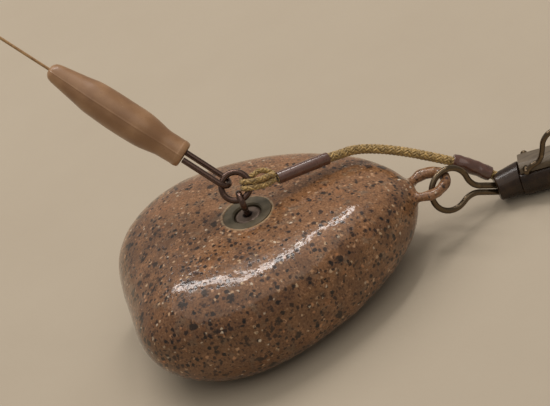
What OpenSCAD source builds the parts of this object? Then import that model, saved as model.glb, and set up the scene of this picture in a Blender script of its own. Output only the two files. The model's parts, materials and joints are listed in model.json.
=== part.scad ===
// Stone-coated fishing lead with a plug-in ring swivel, a sleeved hook link and a tethered clip.
// Millimetres. +X runs along the lead to its nose, +Z is up, and the origin is on the floor,
// under the axis of the socket in the lead's top face.

/* [Lead body] */
// Length of the coated lead from tail to nose
lead_len = 42; // [38:0.5:50]
// Greatest width of the lead
lead_w = 34.2; // [31:0.2:38]
// Height of the lead at its widest
lead_h = 15.8; // [14.4:0.2:18]
// Thickness of the stone-look coating
coat_t = 0.4; // [0.2:0.05:0.6]
// How much of the round underside is cut away to leave a flat base
base_cut_depth = 1.7; // [0.6:0.1:2]
// How far the body leans to its +Y side, for each millimetre of height
side_lean = 0.215; // [0.1:0.005:0.3]

/* [Nose loop] */
// Diameter of the loop along the middle of its wire
loop_d = 5.2; // [5:0.1:6]
// Diameter of the cast-in loop wire
loop_wire = 0.9; // [0.7:0.05:1]
// Thickness of the coating on the loop
loop_skin = 0.28; // [0.2:0.01:0.32]
// How far the loop's centre stands in front of the nose
loop_ahead = 1.75; // [1.6:0.05:2]
// Height of the loop over the base
loop_z = 8.3; // [7.9:0.1:8.7]
// Length of the wire's shank in the casting
shank_len = 7; // [5:0.5:10]
// Width of the bar at the end of the shank
shank_bar = 5; // [3:0.5:8]

/* [Socket] */
// Outside diameter of the socket sleeve
socket_od = 6.8; // [6:0.1:8]
// Depth of the socket sleeve's outside
socket_len = 12.4; // [11.6:0.1:13]
// Thickness of the socket's closed end
socket_floor = 1.2; // [0.8:0.1:1.6]
// Diameter of the flange that keys the sleeve in the casting
flange_d = 8.6; // [8.2:0.1:10]
// Thickness of that flange
flange_t = 1.2; // [0.8:0.1:2]

/* [Plug swivel] */
// Diameter of the swivel's barrel
barrel_d = 3.8; // [3.5:0.05:4.2]
// Length of the swivel's barrel
barrel_len = 6.4; // [6:0.1:7]
// Wire diameter of the swivel's eyes
eye_wire = 0.85; // [0.7:0.05:0.9]
// Clear hole in the upper eye
eye_hole = 1.5; // [1.4:0.05:1.8]
// Clear hole in the lower eye, inside the socket
low_eye_hole = 1; // [0.8:0.05:1.1]
// How far the barrel's end lies below the sleeve's rim
barrel_sink = 0.25; // [0.1:0.05:0.5]

/* [Rig ring] */
// Diameter of the ring along the middle of its wire
ring_d = 3.8; // [3.6:0.1:4.4]
// Diameter of the ring's wire
ring_wire = 0.86; // [0.7:0.02:0.9]
// Lean of the ring back from upright, in degrees
ring_lean = 34.3; // [25:0.1:45]

/* [Quick link] */
// Spacing of the link's two legs
link_span = 2.1; // [2.05:0.05:2.4]
// Diameter of the link's wire
link_wire = 0.8; // [0.6:0.05:0.8]
// Length of the link's straight legs
link_leg = 7.2; // [6.6:0.1:8]
// Opening cut in the near leg, under the sleeve
link_gap = 0.6; // [0.3:0.1:1]
// Clearance where the link hangs on the ring
link_slack = 0.16; // [0.1:0.01:0.2]
// Where the link sits on the ring, in degrees round from the right
link_at = 133; // [128:1:138]
// Lean of the link to the left of the ring's upright, in degrees
link_lean = 34; // [30:1:38]
// Turn of the link about its own length, in degrees
link_turn = 30; // [26:1:34]

/* [Link swivel] */
// Diameter of the small swivel's barrel inside the rubber sleeve
small_d = 2.7; // [2.4:0.05:2.8]
// Length of that barrel
small_len = 4.2; // [4:0.1:5]
// Wire diameter of its eye
small_wire = 0.55; // [0.5:0.05:0.6]
// Clear hole in its eye
small_hole = 0.9; // [0.8:0.05:1.1]

/* [Rubber sleeve] */
// Length of the anti-tangle sleeve
sleeve_len = 21.2; // [19:0.1:24]
// Greatest diameter of the sleeve
sleeve_d = 4.9; // [4.6:0.1:5.4]
// Outside diameter at the link end
sleeve_mouth_d = 3.75; // [3.65:0.05:4]
// Bore at the link end
sleeve_bore = 3.05; // [3:0.01:3.2]
// Bore round the line at the tip
sleeve_tip_bore = 0.7; // [0.6:0.05:0.8]
// Distance from the ring to the sleeve's link end
sleeve_from = 6.1; // [5.6:0.1:6.6]

/* [Hooklink] */
// Diameter of the hooklink line
line_d = 0.4; // [0.35:0.01:0.45]
// Diameter of the knot at the small swivel's eye
knot_d = 1.3; // [1.2:0.05:1.4]
// Length of that knot
knot_len = 1.8; // [1.4:0.1:2.2]
// Diameter of the loop at the far end, along the middle of the line
end_loop_d = 11; // [10:0.5:13]

/* [Tether] */
// Diameter of the braid
braid_d = 1.36; // [1.2:0.02:1.4]
// Outside diameter of the smooth tube behind the ring
front_tube_d = 1.7; // [1.66:0.02:2]
// Outside diameter of the shrunk tube at the clip
rear_tube_d = 2.2; // [1.9:0.05:2.4]
// Clearance between the braid and the tubes
braid_gap = 0.03; // [0.02:0.01:0.04]
// Strand diameter of the loop through the ring
strand_d = 0.82; // [0.7:0.02:0.84]

/* [Lead link] */
// Diameter of the link's bend along the middle of its wire
hitch_d = 5.85; // [5.7:0.05:6]
// Diameter of the link's wire
hitch_wire = 0.84; // [0.76:0.02:0.86]
// Radius of the turn that leads each leg into the neck
hitch_turn_r = 2.8; // [2.4:0.1:3.2]
// Length of the link from the bend's centre to the end the collar holds
hitch_len = 8.6; // [8.4:0.1:8.8]
// Spacing of the doubled legs
hitch_pitch = 0.92; // [0.9:0.01:1]

/* [Clip] */
// Diameter of the collar at the front
collar_front_d = 3.8; // [3.6:0.1:4.2]
// Diameter of the collar at the back
collar_back_d = 4.6; // [4.4:0.1:5]
// Length of the collar
collar_len = 3.7; // [3.2:0.1:4.2]
// Diameter of the clip's body
clip_d = 5.1; // [4.9:0.1:5.6]
// Length of the clip's body
clip_len = 11; // [10.6:0.1:12.6]
// Width of the raised saddle and the rib that carries it
saddle_w = 3.5; // [3.2:0.1:3.6]
// Height of the saddle over the rib
saddle_h = 1.38; // [1.3:0.02:1.5]
// Diameter of the keeper's wire
keeper_wire_d = 0.76; // [0.6:0.02:0.8]
// Rise of the keeper over its pivot
keeper_h = 5.1; // [4.6:0.1:5.6]

/* [Tail eye] */
// Hole in the tail eye, for the leader
tail_bore = 1.8; // [1.4:0.1:2]
// Thickness of the tail eye
tail_t = 1.6; // [1.2:0.1:2]
// Wall round the hole in the tail eye
tail_wall = 0.95; // [0.7:0.05:1.2]
// Diameter of the tail eye's stem
tail_stem_d = 1.3; // [1:0.05:1.4]

/* [Hidden] */

// Faces of round things
round_fn = 48;
wire_fn = 24;
// Overrun of every cut
over = 0.5;
// Gap between bonded or cast-in pieces
bond_gap = 0.02;
// Radial clearance of everything that turns or slides in a bore
run_gap = 0.05;
// Clearance left where one wire hangs in another
hang_gap = 0.03;
// Bevel on small moulded edges
bevel = 0.2;

// The lead's outline: shares of its length from the tail, and the powers that round it
socket_share = 0.476;
widest_share = 0.334;
tail_plan = 1.3;
tail_square = 4.7;
nose_plan = 1.65;
nose_square = 1.61;
rise_power = 2.16;
upper_power = 3.6;
lower_power = 2.25;
tail_x = -socket_share * lead_len;
nose_x = tail_x + lead_len;
wide_x = tail_x + widest_share * lead_len;
mid_z = lead_h / 2;
body_rings = 13;
body_sides = 40;
last_ring_share = 0.9985;

// Share of the way from the widest station to an end, closer together near the end
function reach(i) = 1 - (1 - last_ring_share) - last_ring_share * pow(1 - i / body_rings, 2);
function signed_power(v, p) = sign(v) * pow(abs(v), p);

// One station of the body, drawn in by inset: [x, half-width, half-height]
function tail_station(t, inset) = [
    wide_x - t * (wide_x - tail_x - inset),
    (lead_w / 2 - inset) * pow(1 - pow(t, tail_plan), 1 / tail_square),
    (lead_h / 2 - inset) * sqrt(1 - pow(t, rise_power))];
function nose_station(t, inset) = [
    wide_x + t * (nose_x - wide_x - inset),
    (lead_w / 2 - inset) * pow(1 - pow(t, nose_plan), 1 / nose_square),
    (lead_h / 2 - inset) * sqrt(1 - pow(t, rise_power))];
function body_stations(inset) = concat(
    [for (i = [body_rings : -1 : 1]) tail_station(reach(i), inset)],
    [for (i = [0 : body_rings]) nose_station(reach(i), inset)]);
function bend_share(a) = 2 / (sin(a) < 0 ? lower_power : upper_power);
function section_z(h, a, inset) = max(inset,
    mid_z + (h + (sin(a) < 0 ? base_cut_depth * h / (lead_h / 2) : 0))
    * signed_power(sin(a), bend_share(a)));
function body_ring(s, inset) = [for (k = [0 : body_sides - 1])
    let (a = -360 * (k + 0.5) / body_sides, z = section_z(s[2], a, inset))
    [s[0], s[1] * signed_power(cos(a), bend_share(a)) + side_lean * (z - mid_z), z]];
// Height of the lead's top on its centre line
function top_z(x) = mid_z + lead_h / 2 * sqrt(1 - pow(x < wide_x ?
    (wide_x - x) / (wide_x - tail_x) : (x - wide_x) / (nose_x - wide_x), rise_power));

// Quads between rings of points, as triangles, closed by a point at each end
function skin_faces(rings, sides) = [for (i = [0 : rings - 2], k = [0 : sides - 1], half = [0, 1])
    let (a = i * sides + k, b = i * sides + (k + 1) % sides)
    half == 0 ? [a, b, a + sides] : [b, b + sides, a + sides]];
function cap_faces(rings, sides) = concat(
    [for (k = [0 : sides - 1]) [rings * sides, (k + 1) % sides, k]],
    [for (k = [0 : sides - 1]) let (b = (rings - 1) * sides)
        [rings * sides + 1, b + k, b + (k + 1) % sides]]);
module skinned(rings, sides, first_tip, last_tip) {
    count = len(rings);
    polyhedron(
        points = concat([for (r = rings, p = r) p], [first_tip, last_tip]),
        faces = concat(skin_faces(count, sides), cap_faces(count, sides)));
}
module body_solid(inset) {
    skinned([for (s = body_stations(inset)) body_ring(s, inset)], body_sides,
            [tail_x + inset, 0, mid_z], [nose_x - inset, 0, mid_z]);
}

// Shapes made of round wire
module torus(mid_r, wire_r) {
    rotate_extrude($fn = round_fn) translate([mid_r, 0]) circle(wire_r, $fn = wire_fn);
}
module wire_bend(mid_r, wire_r, from_a, to_a) {
    rotate([0, 0, from_a]) rotate_extrude(angle = to_a - from_a, $fn = round_fn)
        translate([mid_r, 0]) circle(wire_r, $fn = wire_fn);
}
module rod(r, from_z, to_z) {
    translate([0, 0, from_z]) cylinder(r = r, h = to_z - from_z, $fn = wire_fn);
}
module rod_along_y(r, from_y, to_y) {
    translate([0, from_y, 0]) rotate([-90, 0, 0]) cylinder(r = r, h = to_y - from_y, $fn = wire_fn);
}
module rod_along_x(r, from_x, to_x) {
    translate([from_x, 0, 0]) rotate([0, 90, 0]) cylinder(r = r, h = to_x - from_x, $fn = wire_fn);
}

// Tubes swept along points, in the manner of a cord
function unit(v) = v / norm(v);
function spline(a, b, c, d, t) = 0.5 * (2 * b + (c - a) * t + (2 * a - 5 * b + 4 * c - d) * t * t
    + (3 * b - a - 3 * c + d) * t * t * t);
function smooth_path(p, steps) = let (n = len(p)) concat(
    [for (i = [0 : n - 2], j = [0 : steps - 1])
        spline(p[max(i - 1, 0)], p[i], p[i + 1], p[min(i + 2, n - 1)], j / steps)],
    [p[n - 1]]);
function tangent(p, i) = unit(p[min(i + 1, len(p) - 1)] - p[max(i - 1, 0)]);
function slice(p, from, to) = [for (i = [from : to]) p[i]];
// A ring of points square to the path, turned alike all along by a fixed reference direction
function tube_ring(centre, along, r, sides, ref) = let (u = unit(cross(along, ref)), v = cross(u, along))
    [for (k = [0 : sides - 1]) let (a = 360 * k / sides) centre + r * (cos(a) * u + sin(a) * v)];
module swept(path, tangents, r, sides, ref) {
    n = len(path);
    radii = is_list(r) ? r : [for (p = path) r];
    skinned([for (i = [0 : n - 1]) tube_ring(path[i], tangents[i], radii[i], sides, ref)], sides,
            path[0], path[n - 1]);
}

// Heights of the socket and the plug swivel
socket_top = top_z(0) + bond_gap * 2;
socket_bottom = socket_top - socket_len;
flange_z = socket_bottom + socket_len / 4;
barrel_top = socket_top - barrel_sink;
barrel_bottom = barrel_top - barrel_len;
barrel_wall = 0.7;
barrel_side = 0.5;
barrel_cavity_d = barrel_d - 2 * barrel_side;
barrel_round = 0.5;
neck_hole_d = eye_wire + 2 * run_gap;
head_d = barrel_cavity_d - 4 * run_gap;
head_t = 0.9;
eye_neck = 0.7;
eye_mid_r = (eye_hole + eye_wire) / 2;
eye_z = barrel_top + eye_neck + eye_wire / 2 + eye_mid_r;
low_eye_mid_r = (low_eye_hole + eye_wire) / 2;

// The ring hangs in the eye: this is the middle of its wire there
ring_seat_z = eye_z + eye_hole / 2 - ring_wire / 2 - hang_gap;
ring_r = ring_d / 2;

// The small swivel in the rubber sleeve, measured along the link from the ring's wire
link_mid_r = link_span / 2;
link_low = (link_span - link_wire) / 2 - ring_wire / 2 - link_slack;
link_high = link_low + link_leg;
link_neck = 0.5;
link_stem_top = link_high + link_mid_r + link_wire / 2 + link_neck;
small_wall = 0.5;
small_side = 0.4;
small_cavity_d = small_d - 2 * small_side;
small_head_d = small_cavity_d - 4 * run_gap;
small_head_t = 0.6;
small_round = 0.3;
small_top = link_stem_top + small_len;
small_mid_r = (small_hole + small_wire) / 2;
small_eye_z = small_top + small_wire + small_mid_r;
knot_z = small_eye_z + small_mid_r + small_wire / 2 + hang_gap;
line_from = knot_z + knot_len;
knot_turns = 4;
turn_pitch_share = 0.9;
knot_tie_r = small_wire / 2 + line_d / 2 + hang_gap;
line_len = 30;
line_to = line_from + line_len;
line_steps = 14;

// The rubber sleeve's outside: shares of its length, and of its greatest diameter
sleeve_shares = [[0.16, 0.78], [0.26, 0.93], [0.33, 0.99], [0.45, 1], [0.6, 0.98], [0.69, 0.93],
                 [0.76, 0.82], [0.86, 0.68], [0.94, 0.56], [0.985, 0.42]];
sleeve_hold_share = 0.52;
sleeve_cone_share = 0.72;
sleeve_cone_bore_share = 0.45;
sleeve_rim = 0.15;

// The tether's route from the ring's loop to the clip's collar
tether_route = [[5.55, 2, 17.5], [9.1, 3, 16.75], [12.8, 4.2, 15.8], [14.75, 5, 15.05],
                [16.3, 5.5, 14.55], [18.1, 5.8, 13.7], [20.5, 5.6, 12.5], [22.8, 5, 11.3],
                [25.1, 4.3, 9.95], [28.4, 3.4, 7.75], [30.6, 2.65, 6.1], [32.5, 1.98, 4.4],
                [33.5, 1.6, 3.4]];
tether_steps = 3;
tether_ref = [0, 1, 0];
rear_tube_narrowing = 0.12;
tether_sides = 10;
tether_path = smooth_path(tether_route, tether_steps);
tether_tangents = [for (i = [0 : len(tether_path) - 1]) tangent(tether_path, i)];
front_tube_end = 2 * tether_steps;
tether_split = 4 * tether_steps;
rear_tube_start = 9 * tether_steps;
tube_end = 11 * tether_steps;
tether_end = 12 * tether_steps;
// The strand that goes round the ring, from its place there: out from the ring's centre, away
// from the viewer, and along the ring's wire
loop_at = -7;
strand_routes = [
    [[3.5, 2.2, 0.2], [2.6, 1.9, 0.85], [1.7, 1.4, 1.12], [0.7, 1.02, 0.8], [-0.5, 0.76, 0.48],
     [-0.96, 0, 0.36], [-0.5, -0.76, 0.2], [0.5, -0.96, 0.02], [1.5, -0.5, -0.02], [2.6, 0.5, 0.1],
     [3.45, 1.45, 0.12]],
    [[3.5, 2.15, -0.4], [2.6, 1.8, -0.3], [1.7, 1.35, -0.22], [0.5, 1.02, -0.3],
     [-0.56, 0.8, -0.44], [-1.05, 0, -0.53], [-0.68, -0.8, -0.66], [0.36, -1.02, -0.82],
     [1.4, -0.5, -0.95], [2.5, 0.5, -0.86], [3.4, 1.5, -0.55]]];
strand_sides = 8;
strand_steps = 2;

// The lead link, from the middle of the nose loop's far end
loop_r = loop_d / 2;
loop_x = nose_x + loop_ahead;
root_boss_r = 2.6;
skin_to_a = 142;
hitch_r = hitch_d / 2;
hitch_from_loop = [0.05, -0.8, -1.68];
hitch_pitch_down = 32.3;
hitch_yaw = 12.9;
hitch_lean = 13;
neck_half = hitch_pitch / 2;
elbow_swell = 0.01;
turn_x = sqrt(pow(hitch_r + hitch_turn_r, 2) - pow(neck_half + hitch_turn_r, 2));
turn_a = atan2(neck_half + hitch_turn_r, turn_x);

// The clip lies on the floor beside the lead's axis
clip_r = clip_d / 2;
floor_gap = 0.02;
clip_ahead = 10.5;
clip_x = nose_x + clip_ahead;
clip_y = 0.9;
clip_yaw = 13;
clip_z = clip_r + floor_gap;
spigot_d = 2.2;
spigot_len = 1.6;
body_x = collar_len + bond_gap;
rib_top = 1.65;
pivot_in = 1.16;
pivot_x = body_x + pivot_in;
pivot_z = 2.3;
head_len = 0.35;
saddle_in = 0.25;
tail_x0 = body_x + clip_len;
tail_pocket_d = 3.1;
tail_pocket = 2.4;
tail_head_d = 2.6;
tail_head_t = 0.9;
cap_t = 1.4;
cap_lip = 1;
tail_stem_len = 1.3;
// The keeper's arm in its own rise: along the clip, across from the side towards the middle, and up
keeper_shares = [[0, 1, 0], [0.085, 1, 0.055], [0.19, 1, 0.13], [0.28, 1, 0.165], [0.375, 1, 0.2],
                 [0.49, 1, 0.33], [0.58, 1, 0.54], [0.67, 1, 0.775], [0.8, 0.99, 0.93],
                 [0.925, 0.97, 0.995], [1.1, 0.9, 1.01], [1.3, 0.7, 0.92], [1.46, 0.42, 0.73],
                 [1.58, 0.18, 0.5], [1.68, 0.04, 0.32], [1.8, 0, 0.245]];
keeper_steps = 2;
keeper_sides = 8;
keeper_side = saddle_w / 2 + run_gap + keeper_wire_d / 2;

module at_ring_seat() translate([0, 0, ring_seat_z]) rotate([-ring_lean, 0, 0]) children();
module at_link() {
    at_ring_seat() translate([ring_r * cos(link_at), 0, ring_r * (1 + sin(link_at))])
        rotate([0, -link_lean, 0]) rotate([0, 0, -link_turn]) children();
}
module at_loop_strands() {
    at_ring_seat() translate([ring_r * cos(loop_at), 0, ring_r * (1 + sin(loop_at))])
        rotate([0, -loop_at, 0]) children();
}
module at_hitch() {
    translate([loop_x + loop_r, 0, loop_z]) translate(hitch_from_loop)
        rotate([0, 0, hitch_yaw]) rotate([0, hitch_pitch_down, 0]) rotate([90 - hitch_lean, 0, 0])
        children();
}
module at_collar() translate([clip_x, clip_y, clip_z]) children();
// The clip's body stands at an angle on its collar
module at_clip() {
    at_collar() translate([collar_len, 0, 0]) rotate([0, 0, -clip_yaw]) translate([-collar_len, 0, 0])
        children();
}

// The space that the nose loop's wire takes in the casting
module loop_wire_solid(gap) {
    translate([loop_x, 0, loop_z]) {
        torus(loop_r, loop_wire / 2 + gap);
        rod_along_x(loop_wire / 2 + gap, -loop_r - shank_len - gap, -loop_r);
        translate([-loop_r - shank_len, 0, 0])
            rod_along_y(loop_wire / 2 + gap, -shank_bar / 2 - gap, shank_bar / 2 + gap);
    }
}
// The coating's way round the loop: all but the stretch behind, which the nose holds
module loop_skin_solid(gap) {
    translate([loop_x, 0, loop_z])
        wire_bend(loop_r, loop_wire / 2 + loop_skin + gap, -skin_to_a - gap, skin_to_a + gap);
}
// The space that the socket sleeve takes in the lead
module socket_space(gap) {
    rod(socket_od / 2 + gap, socket_bottom - gap, socket_top + over);
    rod(flange_d / 2 + gap, flange_z - gap, flange_z + flange_t + gap);
}

module lead_core() {
    color("dimgray") difference() {
        body_solid(coat_t + bond_gap);
        socket_space(bond_gap);
        loop_wire_solid(bond_gap);
        loop_skin_solid(bond_gap);
    }
}
module stone_coating() {
    color("#8a5a3c") difference() {
        union() {
            body_solid(0);
            translate([nose_x - root_boss_r + bevel, 0, loop_z]) sphere(root_boss_r, $fn = wire_fn);
        }
        body_solid(coat_t);
        rod(socket_od / 2 + bond_gap, mid_z, lead_h + over);
        loop_wire_solid(bond_gap);
        loop_skin_solid(bond_gap);
    }
}
module nose_loop() {
    color("slategray") loop_wire_solid(0);
}
module loop_coating() {
    color("#7d5238") difference() {
        loop_skin_solid(0);
        translate([loop_x, 0, loop_z]) torus(loop_r, loop_wire / 2 + bond_gap);
    }
}
module socket_sleeve() {
    color("#4c5350") difference() {
        union() {
            rod(socket_od / 2, socket_bottom, socket_top);
            rod(flange_d / 2, flange_z, flange_z + flange_t);
        }
        rod(barrel_d / 2 + run_gap, socket_bottom + socket_floor, socket_top + over);
        translate([0, 0, socket_top - bevel])
            cylinder(r1 = barrel_d / 2 + run_gap, r2 = barrel_d / 2 + run_gap + 2 * bevel,
                     h = 2 * bevel, $fn = round_fn);
    }
}

// A swivel's barrel from from_z up, rolled over at both ends round the eyes' necks
module barrel_solid(d, length, wall, corner, cavity_d, hole_d) {
    rotate_extrude($fn = round_fn) difference() {
        union() {
            square([d / 2 - corner, length]);
            translate([0, corner]) square([d / 2, length - 2 * corner]);
            for (z = [corner, length - corner]) translate([d / 2 - corner, z]) circle(corner, $fn = wire_fn);
        }
        translate([0, wall]) square([cavity_d / 2, length - 2 * wall]);
        translate([0, -over]) square([hole_d / 2, length + 2 * over]);
        for (z = [0, length]) translate([0, z]) rotate(45)
            square([hole_d / 2 + bevel, hole_d / 2 + bevel] * sqrt(2), center = true);
    }
}
// A swivel's eye: the head that turns inside the barrel, its neck and the eye, from the face up
module swivel_eye(wire, mid_r, neck, wall, eye_head_d, eye_head_t) {
    rod(wire / 2, -wall - run_gap, neck + wire / 2);
    rod(eye_head_d / 2, -wall - run_gap - eye_head_t, -wall - run_gap);
    translate([0, 0, neck + wire / 2 + mid_r]) rotate([0, 90, 0]) torus(mid_r, wire / 2);
}
module upper_eye() {
    color("#2e2622") translate([0, 0, barrel_top])
        swivel_eye(eye_wire, eye_mid_r, eye_neck, barrel_wall, head_d, head_t);
}
module swivel_barrel() {
    color("#6b5f58") translate([0, 0, barrel_bottom])
        barrel_solid(barrel_d, barrel_len, barrel_wall, barrel_round, barrel_cavity_d, neck_hole_d);
}
module lower_eye() {
    color("#2e2622") translate([0, 0, barrel_bottom]) mirror([0, 0, 1])
        swivel_eye(eye_wire, low_eye_mid_r, eye_neck / 2, barrel_wall, head_d, head_t);
}
module rig_ring() {
    color("#2b221f") at_ring_seat() translate([0, 0, ring_r]) rotate([90, 0, 0]) torus(ring_r, ring_wire / 2);
}

module tether_loop() {
    color("#a98a4a") at_loop_strands() for (route = strand_routes) {
        path = smooth_path(route, strand_steps);
        swept(path, [for (i = [0 : len(path) - 1]) tangent(path, i)], strand_d / 2, strand_sides,
              [0, 0, 1]);
    }
}
module tether_piece(from, to, r) {
    swept(slice(tether_path, from, to), slice(tether_tangents, from, to), r, tether_sides, tether_ref);
}
module sheath(from, to, r, narrowing) {
    difference() {
        tether_piece(from, to, [for (i = [from : to]) r - narrowing * pow((i - from) / (to - from), 2)]);
        swept([for (i = [from : to]) tether_path[i] + (i == from ? -over : i == to ? over : 0)
                * tether_tangents[i]],
              slice(tether_tangents, from, to), braid_d / 2 + braid_gap, tether_sides, tether_ref);
    }
}
module front_tube() {
    color("#4d3028") sheath(0, front_tube_end, front_tube_d / 2, 0);
}
module tether_front() {
    color("#a98a4a") tether_piece(0, tether_split, braid_d / 2);
}
module tether_rear() {
    color("#a98a4a") tether_piece(tether_split, tether_end, braid_d / 2);
}
module rear_tube() {
    color("#7a4a34") sheath(rear_tube_start, tube_end, rear_tube_d / 2, rear_tube_narrowing);
}

module quick_link() {
    color("#26211f") at_link() rotate([0, 90, 0]) {
        difference() {
            for (side = [1, -1]) translate([0, side * link_mid_r, 0]) rotate([0, -90, 0])
                rod(link_wire / 2, link_low, link_high);
            translate([-link_high + link_mid_r, -link_mid_r, 0])
                cube([link_gap, link_wire + over, link_wire + over], center = true);
        }
        translate([-link_low, 0, 0]) wire_bend(link_mid_r, link_wire / 2, -90, 90);
        translate([-link_high, 0, 0]) wire_bend(link_mid_r, link_wire / 2, 90, 270);
        rotate([0, -90, 0]) {
            rod(small_wire / 2, link_high + link_mid_r, link_stem_top + small_wall + run_gap);
            rod(small_head_d / 2, link_stem_top + small_wall + run_gap,
                link_stem_top + small_wall + run_gap + small_head_t);
        }
    }
}
module link_barrel() {
    color("#6b5f58") at_link() translate([0, 0, link_stem_top])
        barrel_solid(small_d, small_len, small_wall, small_round, small_cavity_d,
                     small_wire + 2 * run_gap);
}
module hooklink_eye() {
    color("#2e2622") at_link() translate([0, 0, small_top])
        swivel_eye(small_wire, small_mid_r, small_wire / 2, small_wall, small_head_d, small_head_t);
}
// The knot's turns stand side by side on the line, over its loop through the swivel's eye
module hooklink_knot() {
    color("#b08a55") at_link() {
        turn_r = knot_len / knot_turns / 2;
        core_r = knot_d / 2 - turn_r;
        translate([0, 0, knot_z]) rotate_extrude($fn = round_fn) union() {
            translate([0, turn_r / 2]) square([core_r, knot_len - turn_r]);
            for (i = [0 : knot_turns - 1]) translate([core_r, turn_r + i * 2 * turn_r * turn_pitch_share])
                circle(turn_r, $fn = wire_fn);
        }
        translate([0, 0, small_eye_z + small_mid_r]) rotate([90, 0, 0]) torus(knot_tie_r, line_d / 2);
    }
}
module hooklink_line() {
    path = [for (i = [0 : line_steps]) [0, 0, line_from + line_len * i / line_steps]];
    color("#b08a55") at_link()
        swept(path, [for (i = [0 : line_steps]) tangent(path, i)], line_d / 2, strand_sides, [0, 1, 0]);
}
module hooklink_end_loop() {
    color("#b08a55") at_link() {
        rod(line_d, line_to, line_to + 3 * line_d);
        translate([0, 0, line_to + 2 * line_d + end_loop_d / 2]) rotate([0, 90, 0])
            torus(end_loop_d / 2, line_d / 2);
    }
}
module anti_tangle_sleeve() {
    d0 = sleeve_mouth_d / 2;
    r = sleeve_d / 2;
    hold = sleeve_hold_share * sleeve_len;
    cone = sleeve_cone_share * sleeve_len;
    cone_r = sleeve_cone_bore_share * sleeve_bore / 2;
    tip_r = sleeve_tip_bore / 2;
    color("#b98d62") at_link() translate([0, 0, sleeve_from]) rotate_extrude($fn = round_fn)
        polygon(concat(
            [[sleeve_bore / 2, 0], [d0 - sleeve_rim, 0], [d0, sleeve_rim]],
            [for (s = sleeve_shares) [s[1] * r, s[0] * sleeve_len]],
            [[tip_r + sleeve_rim, sleeve_len], [tip_r, sleeve_len], [tip_r, sleeve_len - 2 * r],
             [cone_r, cone], [sleeve_bore / 2, hold]]));
}

module lead_link() {
    color("#35302a") at_hitch() {
        wire_bend(hitch_r, hitch_wire / 2, turn_a, 360 - turn_a);
        for (side = [0, 1]) mirror([0, side, 0]) {
            rotate([0, 0, turn_a]) translate([hitch_r, 0, 0])
                sphere(hitch_wire / 2 + elbow_swell, $fn = wire_fn);
            translate([turn_x, neck_half + hitch_turn_r, 0])
                wire_bend(hitch_turn_r, hitch_wire / 2, turn_a - 180, -90);
            translate([turn_x, neck_half, 0]) sphere(hitch_wire / 2 + elbow_swell, $fn = wire_fn);
            translate([0, neck_half, 0]) rod_along_x(hitch_wire / 2, turn_x, hitch_len);
        }
    }
}
module front_collar() {
    color("#3f3a36") difference() {
        at_collar() rotate([0, 90, 0]) rotate_extrude($fn = round_fn) polygon([
            [0, 0], [collar_front_d / 2 - bevel, 0], [collar_front_d / 2, bevel],
            [collar_back_d / 2, collar_len], [collar_back_d / 2, collar_len + clip_r],
            [spigot_d / 2 + bond_gap, collar_len + clip_r],
            [spigot_d / 2 + bond_gap, collar_len - spigot_len], [0, collar_len - spigot_len]]);
        at_clip() translate([body_x - bond_gap, -2 * clip_r, -2 * clip_r]) cube(4 * clip_r);
    }
}
module clip_body() {
    color("#2f2b28") difference() {
        union() {
            at_clip() rod_along_x(clip_r, body_x, tail_x0);
            at_collar() rod_along_x(spigot_d / 2, body_x - spigot_len + bond_gap, body_x + spigot_len / 2);
        }
        at_clip() {
            translate([body_x - over, -clip_r, rib_top]) cube([clip_len + 2 * over, 2 * clip_r, clip_r]);
            rod_along_x(tail_pocket_d / 2, tail_x0 - tail_pocket - cap_lip, tail_x0 + over);
        }
    }
}
module clip_saddle() {
    saddle_x = body_x + saddle_in;
    saddle_len = clip_len - 2 * saddle_in;
    color("#8d8176") at_clip() difference() {
        intersection() {
            translate([saddle_x, -saddle_w / 2, rib_top + bond_gap])
                cube([saddle_len, saddle_w, saddle_h]);
            translate([0, 0, rib_top + saddle_h - clip_r]) rod_along_x(clip_r + bevel, 0, tail_x0 + over);
        }
        translate([pivot_x, 0, pivot_z])
            rod_along_y(keeper_wire_d / 2 + run_gap, -clip_r - over, clip_r + over);
    }
}
module keeper_wire() {
    path = smooth_path([for (s = keeper_shares) [keeper_h * s[0], -keeper_side * s[1], keeper_h * s[2]]],
                       keeper_steps);
    color("#4a4540") at_clip() translate([pivot_x, 0, pivot_z]) {
        swept(path, [for (i = [0 : len(path) - 1]) tangent(path, i)], keeper_wire_d / 2, keeper_sides,
              [-0.2, 0, 1]);
        rod_along_y(keeper_wire_d / 2, -keeper_side - keeper_wire_d / 2, saddle_w / 2 + run_gap);
        rod_along_y(keeper_wire_d / 2 + bevel / 2, saddle_w / 2 + run_gap, saddle_w / 2 + run_gap + head_len);
    }
}
module tail_cap() {
    color("#2f2b28") at_clip() difference() {
        union() {
            rod_along_x(tail_pocket_d / 2 - bond_gap, tail_x0 - cap_lip, tail_x0);
            rod_along_x(clip_r - 2 * bevel, tail_x0 + bond_gap, tail_x0 + cap_t);
            rod_along_x(tail_pocket_d / 2 - bond_gap, tail_x0, tail_x0 + cap_t);
        }
        rod_along_x(tail_stem_d / 2 + run_gap, tail_x0 - cap_lip - over, tail_x0 + cap_t + over);
    }
}
module tail_eye() {
    head_x = tail_x0 - cap_lip - run_gap;
    eye_r = tail_bore / 2 + tail_wall;
    eye_x = tail_x0 + cap_t + tail_stem_len + eye_r;
    color("#6d6660") at_clip() difference() {
        union() {
            rod_along_x(tail_head_d / 2, head_x - tail_head_t, head_x);
            rod_along_x(tail_stem_d / 2, head_x - tail_head_t, eye_x - tail_bore / 2 - tail_wall / 2);
            translate([eye_x, 0, 0]) rod_along_y(eye_r, -tail_t / 2, tail_t / 2);
        }
        translate([eye_x, 0, 0]) rod_along_y(tail_bore / 2, -tail_t, tail_t);
    }
}

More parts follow.
